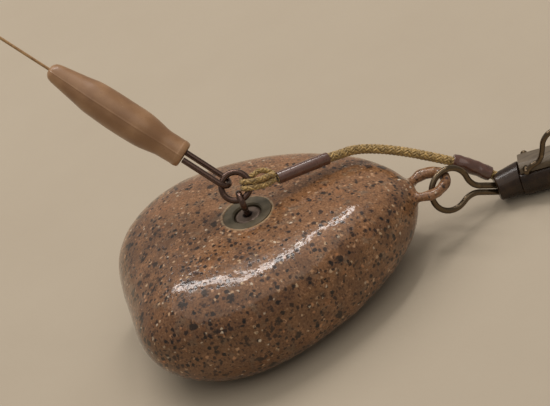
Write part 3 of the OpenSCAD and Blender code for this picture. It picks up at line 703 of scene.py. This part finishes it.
def fibre_look(name, bright, deep, tone_share=1.0):
    """Twisted fibres: each strand has its own tone, with fine filaments along it."""
    look = Look(name, Sheen_Weight=0.25, Sheen_Roughness=0.4, Specular_IOR_Level=0.4)
    filaments = look.noise(1.0, 2.0, vector=look.scaled(look.place.outputs["UV"], (14.0, 0.7, 1.0)))
    tone = look.node("ShaderNodeAttribute", attribute_name="tone")
    base = look.blend(look.maths("MULTIPLY", tone.outputs["Fac"], tone_share), bright, deep)
    base = look.blend(look.spread(filaments, 0.35, 0.7, 0.45, 0.0), base, deep)
    base = look.blend(look.spread(look.noise(0.35, 3.0, 0.6), 0.46, 0.66, 0.0, 0.55), base, deep)
    look.colour(look.blend(look.spread(look.noise(1.6), 0.4, 0.7, 0.0, 0.25), base, deep))
    look.rough(look.spread(filaments, 0.3, 0.7, 0.38, 0.55))
    look.bump(filaments, 0.02 * MM)
    return look.material


def saddle_look():
    """The clip's saddle: grey-brown matte plastic, streaked along its length."""
    look = Look("saddle_plastic", Specular_IOR_Level=0.4)
    streak = look.noise(1.0, 3.0, vector=look.scaled(look.mm, (0.35, 2.6, 2.6)))
    base = look.blend(look.noise(1.8, 3.0), paint(84, 72, 57), paint(114, 100, 81))
    look.colour(look.blend(look.spread(streak, 0.45, 0.75, 0.0, 0.6), base, paint(62, 51, 39)))
    look.rough(look.spread(streak, 0.3, 0.7, 0.42, 0.6))
    look.bump(streak, 0.03 * MM)
    return look.material


def cast_look():
    """Bare cast lead, which the coating covers."""
    look = Look("lead_metal", Metallic=0.8)
    look.colour(look.blend(look.noise(2.0, 4.0), paint(96, 97, 100), paint(140, 141, 144)))
    look.rough(look.spread(look.noise(0.8, 3.0), 0.3, 0.7, 0.45, 0.65))
    look.bump(look.noise(0.5, 4.0), 0.05 * MM)
    return look.material


def floor_look():
    """A plain pale slab with a faint mottle."""
    look = Look("floor", Specular_IOR_Level=0.2)
    look.colour(look.blend(look.noise(30.0, 4.0, 0.6), paint(172, 159, 140), paint(181, 169, 150)))
    look.rough(0.85)
    look.bump(look.noise(0.8, 3.0), 0.02 * MM)
    return look.material


# Camera and cord, which come first

def make_camera():
    data = bpy.data.cameras.new("camera")
    data.sensor_width = CAMERA_SENSOR_MM
    data.lens = CAMERA_LENS_MM
    data.clip_start = 0.01
    data.clip_end = 10
    camera = bpy.data.objects.new("camera", data)
    bpy.context.scene.collection.objects.link(camera)
    back = CAMERA_RIGHT.cross(CAMERA_UP)
    turn = Matrix((CAMERA_RIGHT, CAMERA_UP, back)).transposed().to_4x4()
    camera.matrix_world = Matrix.Translation(CAMERA_AT) @ turn
    bpy.context.scene.camera = camera


def make_hooklink(material):
    """The hooklink past its knot: a taut coated line that ends in a tied loop."""
    steps = 60
    route = placed(AT_LINK, [(0, 0, LINE_FROM + LINE_LEN * i / steps) for i in range(steps + 1)])
    _, up, side = frames_along(route, (0, 1, 0))
    r = LINE_D / 2
    corners, faces, uv = tube(route, up, side, r, r, 16)
    line = make_piece("hooklink_cord", corners, faces, material, "hooklink",
                      ["hooklink_line"], uv)
    end = LINE_FROM + LINE_LEN
    a = np.linspace(0, 2 * math.pi, 97)
    loop = np.stack([0 * a, END_LOOP_R * np.sin(a),
                     end + END_LOOP_GAP + END_LOOP_R * (1 - np.cos(a))], axis=1)
    wrap = np.linspace(0, 2 * math.pi * END_COIL_TURNS, 32 * END_COIL_TURNS)
    coil = np.stack([r * np.cos(wrap), r * np.sin(wrap), end + END_COIL_LEN * wrap / wrap[-1]], axis=1)
    corners, faces, uv = joined(line_tubes((loop, coil), (0.3, 1, 0.2), 12))
    loop_piece = make_piece("hooklink_loop", corners, faces, material, "hooklink",
                            ["hooklink_end_loop"], uv)


def line_tubes(paths, first, sides):
    """The hooklink's line along paths that are laid out on the quick link's own axes."""
    tubes = []
    for path in paths:
        path = placed(AT_LINK, path)
        _, up, side = frames_along(path, first)
        tubes.append(tube(path, up, side, LINE_D / 2, LINE_D / 2, sides))
    return tubes


# The coated lead

def body_corners(rings, sides):
    """Rings of corners over the lead's body, from its tail to its nose."""
    def signed(v, power):
        return np.sign(v) * np.abs(v) ** power

    a = -2 * math.pi * (np.arange(sides) + 0.5) / sides
    below = np.sin(a) < 0
    bend = 2 / np.where(below, LOWER_POWER, UPPER_POWER)
    t = 1 - (1 - np.arange(rings + 1) / rings) ** 2 * STEP_SHARE
    t[-1] = END_SHARE
    stations = []
    for k in range(rings, 0, -1):
        stations.append((WIDE_X - t[k] * (WIDE_X - TAIL_X),
                         (1 - t[k] ** TAIL_PLAN) ** (1 / TAIL_SQUARE), t[k]))
    for k in range(rings + 1):
        share = 0.0 if k == 0 else t[k]
        stations.append((WIDE_X + share * (NOSE_X - WIDE_X),
                         (1 - share ** NOSE_PLAN) ** (1 / NOSE_SQUARE), share))
    out = []
    for x, width_share, share in stations:
        h = LEAD_H / 2 * math.sqrt(1 - share ** RISE_POWER)
        y = LEAD_W / 2 * width_share * signed(np.cos(a), bend)
        low = np.where(below, BASE_CUT * h / (LEAD_H / 2), 0)
        z = np.maximum(0, MID_Z + (h + low) * signed(np.sin(a), bend))
        y = y + SIDE_LEAN * (z - MID_Z)
        out.append(np.stack([np.full(sides, x), y, z], axis=1))
    return np.array(out)


def rough_coating():
    """The body, the nose root's boss and the loop as three closed shapes in one mesh."""
    rings = body_corners(BODY_RINGS, BODY_SIDES)
    n, sides = rings.shape[:2]
    corners = np.concatenate([rings.reshape(-1, 3), [[TAIL_X, 0, MID_Z]], [[NOSE_X, 0, MID_Z]]])
    faces = grid_faces(n, sides) + end_faces(n, sides)
    half_turn = np.linspace(0, math.pi, 25)
    boss, boss_faces = lathe([(BOSS_R * math.sin(v) + POLE_R, -BOSS_R * math.cos(v)) for v in half_turn],
                             48, False)
    loop, loop_faces = lathe([(LOOP_R + LOOP_TUBE_R * math.cos(v), LOOP_TUBE_R * math.sin(v))
                              for v in angles(48)], 96)
    corners, faces, _ = joined([(corners, faces, []), (boss + (BOSS_X, 0, LOOP_AT.z), boss_faces, []),
                                (loop + np.array(LOOP_AT), loop_faces, [])])
    return corners, faces


def make_coating(material):
    """The coating's skin: body, nose root and loop in one, with its pocket for the socket."""
    corners, faces = rough_coating()
    piece = make_piece("coating", corners, faces, material, None)
    applied(piece, "REMESH", mode="VOXEL", voxel_size=COAT_VOXEL, adaptivity=0.0)
    mesh = piece.data
    p = corners_of(mesh)
    relaxed(mesh, np.full(len(p), RELAX_WEIGHT), COAT_ROUNDS)
    relaxed(mesh, ROOT_WEIGHT * hill(p[:, 0], NOSE_X, ROOT_PLACES), ROOT_ROUNDS)
    lumped(mesh, COAT_LUMPS)
    p = corners_of(mesh)
    lumps = LOOP_LUMP * ease(p[:, 0], NOSE_X + LOOP_FROM_NOSE[0], NOSE_X + LOOP_FROM_NOSE[1])
    lumps *= np.array([noise.noise(Vector(q) / LOOP_LUMP_SIZE) if k else 0 for q, k in zip(p, lumps > 0)])
    p = p + normals_of(mesh) * lumps[:, None]
    lip = hill(np.hypot(p[:, 0], p[:, 1]), SOCKET_R, LIP_PLACES)
    p[:, 2] += LIP_RISE * lip * (p[:, 2] > MID_Z)
    p[:, 2] = np.maximum(p[:, 2], 0)
    set_corners(mesh, p)
    cut_top = LEAD_H + SOCKET_CUT_OVER
    cut_corners, cut_faces = lathe([(POLE_R, SOCKET_DEEP_Z), (SOCKET_R, SOCKET_DEEP_Z),
                                    (SOCKET_R, cut_top), (POLE_R, cut_top)], 128)
    cutter = make_piece("socket_cut", cut_corners, cut_faces, material, None)
    applied(piece, "BOOLEAN", operation="DIFFERENCE", object=cutter, solver="EXACT")
    bpy.data.objects.remove(cutter)
    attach(piece, "lead")
    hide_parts("stone_coating", "loop_coating")


# The tether

def woven(path, up, side, outer_r, carriers, pitch, width, height, sway, start=0.0):
    """A braid round the path: half its strands wind each way, two over and two under."""
    s = start + lengths_along(path)
    core_r = outer_r - sway - height / 2
    half = carriers // 2
    turn = 2 * math.pi * s / pitch
    phase = half * turn / 2 - math.pi / 4
    parts, tones = [], []
    for way in (1, -1):
        r = core_r + way * sway * np.cos(phase)
        for i in range(half):
            a = way * turn + 2 * math.pi * i / half
            out = np.cos(a)[:, None] * up + np.sin(a)[:, None] * side
            centre = path + r[:, None] * out
            along = unit(np.gradient(centre, axis=0))
            across = unit(np.cross(along, out))
            outward = np.cross(across, along)
            made = tube(centre, outward, across, height / 2, width / 2, BRAID_SIDES)
            parts.append(made)
            # Five tones, dealt out so that neighbours differ
            tones += [0.09 * ((i * 7 + (way > 0) * 3) % 5)] * len(made[0])
    core = tube(path, up, side, core_r * BRAID_CORE_SHARE, core_r * BRAID_CORE_SHARE, 12)
    parts.append(core)
    # The core takes the full dark tone: painted shade that fills the gaps between the strands.
    tones += [1.0] * len(core[0])
    corners, faces, uv = joined(parts)
    return corners, faces, uv, tones


def make_tether(braid, tube_material):
    """The braided tether in two halves, with its two shrunk tubes."""
    route = smooth_route(np.array(TETHER_ROUTE_MM) * MM, ROUTE_STEPS)
    whole = evenly(route, BRAID_SPACING)
    s = lengths_along(whole)
    chosen = lengths_along(route)[::ROUTE_STEPS]
    front_end, split, rear_start, rear_end = (
        int(np.searchsorted(s, chosen[k]))
        for k in (FRONT_TUBE_END, TETHER_SPLIT, REAR_TUBE_START, REAR_TUBE_END))
    _, up, side = frames_along(whole)

    def stretch(first, last):
        cut = slice(first, last + 1)
        return whole[cut], up[cut], side[cut]

    corners, faces, uv, tones = woven(*stretch(0, split), **BRAID_STYLE)
    front = make_piece("braid_front", corners, faces, braid, None, ["tether_front"], uv, tones)
    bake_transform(front)
    corners, faces, uv, tones = woven(*stretch(split, len(s)), start=s[split], **BRAID_STYLE)
    rear = make_piece("braid_rear", corners, faces, braid, None, ["tether_rear"], uv, tones)
    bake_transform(rear)
    make_sheath("tube_front", *stretch(0, front_end), FRONT_TUBE_D / 2, tube_material, "plug",
                "front_tube", **FRONT_TUBE_STYLE)
    make_sheath("tube_rear", *stretch(rear_start, rear_end), REAR_TUBE_D / 2, tube_material, "clip",
                "rear_tube", **REAR_TUBE_STYLE)


def make_sheath(name, path, up, side, outer, material, body, node, crumple, crumple_size, sink, narrowing):
    """A tube over the braid, with rounded ends and a surface that follows what is under it."""
    n, sides = len(path), TUBE_SIDES
    a = angles(sides)
    out = np.cos(a)[None, :, None] * up[:, None, :] + np.sin(a)[None, :, None] * side[:, None, :]
    share = np.linspace(0, 1, n)
    inner = BRAID_D / 2 + TUBE_ROOM
    s = lengths_along(path)
    ends = np.minimum(s, s[-1] - s)
    rounding = TUBE_LIP - np.sqrt(np.maximum(0, TUBE_LIP ** 2 - np.maximum(0, TUBE_LIP - ends) ** 2))
    r = np.repeat((outer - narrowing * share ** 2 - rounding)[:, None], sides, axis=1)
    for i in range(n):
        for k in range(sides):
            q = (Vector(path[i]) + Vector(out[i, k]) * outer) / crumple_size
            r[i, k] += crumple * (noise.noise(q) - sink)
    r = np.maximum(r, inner + TUBE_WALL)
    shell = path[:, None, :] + r[:, :, None] * out
    bore = (path[:, None, :] + inner * out)[::-1]
    corners = np.concatenate([shell, bore]).reshape(-1, 3)
    faces = grid_faces(2 * n, sides, True)
    v = np.concatenate([share, share[::-1], [0]]) * s[-1] / MM
    uv = [[(k / sides, v[i]), ((k + 1) / sides, v[i]), ((k + 1) / sides, v[i + 1]), (k / sides, v[i + 1])]
          for i in range(2 * n) for k in range(sides)]
    return make_piece(name, corners, faces, material, body, [node], uv)


def make_ring_loop(braid):
    """The tether's end, laid round the ring: two thin braids in three visible rows."""
    parts, tones = [], []
    for route in STRAND_ROUTES_MM:
        path = evenly(smooth_route(np.array(route) * MM, STRAND_STEPS), STRAND_SPACING)
        path = placed(AT_STRANDS, path)
        _, up, side = frames_along(path, (0, 0.3, 1))
        corners, faces, uv, strand_tones = woven(path, up, side, **STRAND_STYLE)
        parts.append((corners, faces, uv))
        tones += strand_tones
    corners, faces, uv = joined(parts)
    make_piece("braid_loop", corners, faces, braid, "ring", ["tether_loop"], uv, tones)


# Rubber sleeve and knot

def make_sleeve(material):
    """The rubber sleeve: its swelling outside with a parting ridge, its bore and its ends."""
    mouth = SLEEVE_MOUTH_D / 2
    outside = [(mouth - inside, up, 0) for inside, up in MOUTH_EDGE]
    outside += [(share * SLEEVE_D / 2, at * SLEEVE_LEN, 0) for at, share in SWELLING_SHARES]
    outside += [(SLEEVE_TIP_BORE / 2 + TIP_WALL, SLEEVE_LEN, 0)]
    outside = smooth_route(outside, 8)[:, :2]
    bore = [(SLEEVE_TIP_BORE / 2, SLEEVE_LEN - BORE_EDGE),
            (SLEEVE_TIP_BORE / 2, BORE_TIP_SHARE * SLEEVE_LEN),
            (BORE_NECK_R, BORE_NECK_SHARE * SLEEVE_LEN),
            (SLEEVE_BORE / 2, BORE_WIDE_SHARE * SLEEVE_LEN), (SLEEVE_BORE / 2, BORE_EDGE)]
    profile = np.concatenate([outside, bore])
    corners, faces = lathe(profile, SLEEVE_SIDES)
    a = np.tile(angles(SLEEVE_SIDES), len(profile))
    is_skin = np.repeat(np.arange(len(profile)) < len(outside), SLEEVE_SIDES)
    parting = math.radians(PARTING_TURN)
    ridge = sum(np.exp(-(((a - at + math.pi) % (2 * math.pi) - math.pi) / PARTING_WIDTH) ** 2)
                for at in (parting, parting + math.pi))
    grow = PARTING_H * ridge * is_skin
    grow += is_skin * SLEEVE_LUMP * np.array([noise.noise(Vector(q) / SLEEVE_LUMP_SIZE) for q in corners])
    radial = corners * (1, 1, 0)
    corners = corners + grow[:, None] * radial / np.maximum(np.linalg.norm(radial, axis=1), POLE_R)[:, None]
    corners = placed(AT_LINK @ shift(0, 0, SLEEVE_FROM), corners)
    make_piece("rubber_sleeve", corners, faces, material, "sleeve", ["anti_tangle_sleeve"])


def make_knot(material):
    """The knot at the small swivel's eye: its turns over the line, and its tie through the eye."""
    r = LINE_D / 2
    high = LINE_FROM - KNOT_FROM
    wrap = np.linspace(0, 2 * math.pi * KNOT_TURNS, 28 * KNOT_TURNS)
    coil_r = KNOT_D / 2 - r
    coil = np.stack([coil_r * np.cos(wrap), coil_r * np.sin(wrap),
                     KNOT_FROM + r + (high - 2 * r) * wrap / wrap[-1]], axis=1)
    a = np.linspace(0, 2 * math.pi, 49)
    tie = np.stack([KNOT_TIE_R * np.cos(a), 0 * a, KNOT_TIE_AT + KNOT_TIE_R * np.sin(a)], axis=1)
    core = np.stack([0 * a, 0 * a, KNOT_FROM + (high + r) * np.linspace(0, 1, 49)], axis=1)
    corners, faces, uv = joined(line_tubes((coil, tie, core), (0.2, 0.3, 1), 14))
    make_piece("knot", corners, faces, material, "hooklink", ["hooklink_knot"], uv)


# The clip

def make_keeper(material):
    """The keeper: one bent wire with its pivot and its flattened head."""
    points = [(KEEPER_H * x, -KEEPER_SIDE * y, KEEPER_H * z) for x, y, z in KEEPER_SHARES]
    path = evenly(smooth_route(points, KEEPER_STEPS), KEEPER_SPACING) + np.array(KEEPER_PIVOT)
    path = placed(AT_CLIP, path)
    _, up, side = frames_along(path, (0, 0, 1))
    s = lengths_along(path)
    ends = np.minimum(s, s[-1] - s)
    r = np.sqrt(np.maximum(KEEPER_TIP_SHARE * KEEPER_R ** 2,
                           KEEPER_R ** 2 - np.maximum(0, KEEPER_R - ends) ** 2))
    parts = [tube(path, up, side, r, r, 24)]
    near = -KEEPER_SIDE - KEEPER_R
    far = KEEPER_INNER_END + KEEPER_HEAD_LEN
    head_r = KEEPER_R + KEEPER_HEAD_RIM
    profile = [(POLE_R, near), (KEEPER_R - KEEPER_BEVEL, near), (KEEPER_R, near + KEEPER_BEVEL),
               (KEEPER_R, KEEPER_INNER_END), (head_r, KEEPER_INNER_END), (head_r, far - KEEPER_BEVEL),
               (KEEPER_R + KEEPER_HEAD_TOP, far), (POLE_R, far)]
    corners, faces = lathe(profile, 32, False)
    corners = placed(AT_CLIP @ Matrix.Translation(KEEPER_PIVOT) @ turned("X", -90), corners)
    parts.append((corners, faces, [[(0, 0)] * len(face) for face in faces]))
    corners, faces, uv = joined(parts)
    make_piece("keeper", corners, faces, material, "keeper", ["keeper_wire"], uv)


def make_moulded(node, name, material):
    """A moulded piece: the solid's shape with its edges rounded and its skin a little uneven."""
    mesh = frame["nodes"][node].data.copy()
    mesh.materials.clear()
    mesh.materials.append(material)
    piece = bpy.data.objects.new(name, mesh)
    bpy.context.scene.collection.objects.link(piece)
    applied(piece, "REMESH", mode="VOXEL", voxel_size=MOULDED_VOXEL, adaptivity=0.0)
    relaxed(piece.data, np.full(len(piece.data.vertices), RELAX_WEIGHT), MOULDED_ROUNDS)
    lumped(piece.data, MOULDED_LUMPS)
    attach(piece, "clip")
    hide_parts(node)


# Stage

def make_stage():
    mesh = bpy.data.meshes.new("floor")
    mesh.from_pydata([(-FLOOR_HALF, -FLOOR_HALF, 0), (FLOOR_HALF, -FLOOR_HALF, 0),
                      (FLOOR_HALF, FLOOR_HALF, 0), (-FLOOR_HALF, FLOOR_HALF, 0)], [], [(0, 1, 2, 3)])
    mesh.materials.append(floor_look())
    floor = bpy.data.objects.new("floor", mesh)
    bpy.context.scene.collection.objects.link(floor)


def make_lamp(name, start, end, width, power, colour):
    """Flat lamp from start to end, that wide, turned to the lead."""
    along = Vector(end) - Vector(start)
    middle = (Vector(start) + Vector(end)) / 2
    data = bpy.data.lights.new(name, "AREA")
    data.shape = "RECTANGLE"
    data.size, data.size_y = along.length, width
    data.energy = power
    data.color = colour
    lamp = bpy.data.objects.new(name, data)
    bpy.context.scene.collection.objects.link(lamp)
    side = along.normalized()
    back = (middle - side * middle.dot(side)).normalized()
    turn = Matrix((side, back.cross(side), back)).transposed()
    lamp.matrix_world = Matrix.Translation(middle) @ turn.to_4x4()


def light_scene():
    for name, lamp in LAMPS.items():
        make_lamp(name, **lamp)
    world = bpy.data.worlds.new("world")
    bpy.context.scene.world = world
    world.use_nodes = True
    sky = world.node_tree.nodes["Background"]
    sky.inputs["Color"].default_value = SKY_COLOUR
    sky.inputs["Strength"].default_value = SKY_STRENGTH


def dress_solids(looks):
    """Gives every carried-over solid its material."""
    for part in frame["record"]["subparts"]:
        solid = frame["nodes"][part["node"]]
        material = looks[part["material_slot"]]
        if not solid.material_slots:
            solid.data.materials.append(material)
        for held in solid.material_slots:
            held.material = material
        solid.data.polygons.foreach_set("use_smooth", [True] * len(solid.data.polygons))


def make_all():
    looks = {
        "lead_metal": cast_look(),
        "stone_coat": stone_look(),
        "bare_wire": wire_look("bare_wire", paint(150, 144, 136), paint(112, 104, 96), 0.34, 0.9, 0.1),
        "bronze_wire": wire_look("bronze_wire", paint(84, 61, 50), paint(112, 84, 68), 0.22, 0.85, 0.4),
        "barrel_metal": barrel_look(),
        "socket_plastic": plastic_look("socket_plastic", paint(74, 67, 51), paint(98, 88, 70), 0.42,
                                       0.16, 0.015, 0.0),
        "braid": fibre_look("braid", paint(222, 184, 114), paint(52, 35, 16)),
        "shrink_tube": tube_look(),
        "hooklink": fibre_look("hooklink", paint(182, 144, 95), paint(112, 78, 46), 0.6),
        "tan_rubber": rubber_look(),
        "link_wire": wire_look("link_wire", paint(94, 78, 57), paint(130, 110, 83), 0.18, 0.9, 0.3),
        "clip_plastic": plastic_look("clip_plastic", paint(31, 19, 10), paint(54, 37, 23), 0.26,
                                     0.2, 0.02, 0.15),
        "saddle_plastic": saddle_look(),
    }
    dress_solids(looks)
    make_hooklink(looks["hooklink"])
    make_coating(looks["stone_coat"])
    make_tether(looks["braid"], looks["shrink_tube"])
    make_ring_loop(looks["braid"])
    make_sleeve(looks["tan_rubber"])
    make_knot(looks["hooklink"])
    make_keeper(looks["link_wire"])
    for node, name, slot in (("front_collar", "moulded_collar", "clip_plastic"),
                             ("clip_body", "moulded_body", "clip_plastic"),
                             ("clip_saddle", "moulded_saddle", "saddle_plastic"),
                             ("tail_cap", "moulded_cap", "clip_plastic")):
        make_moulded(node, name, looks[slot])


make_camera()
make_all()
make_stage()
light_scene()
bpy.context.scene.view_settings.view_transform = "Standard"
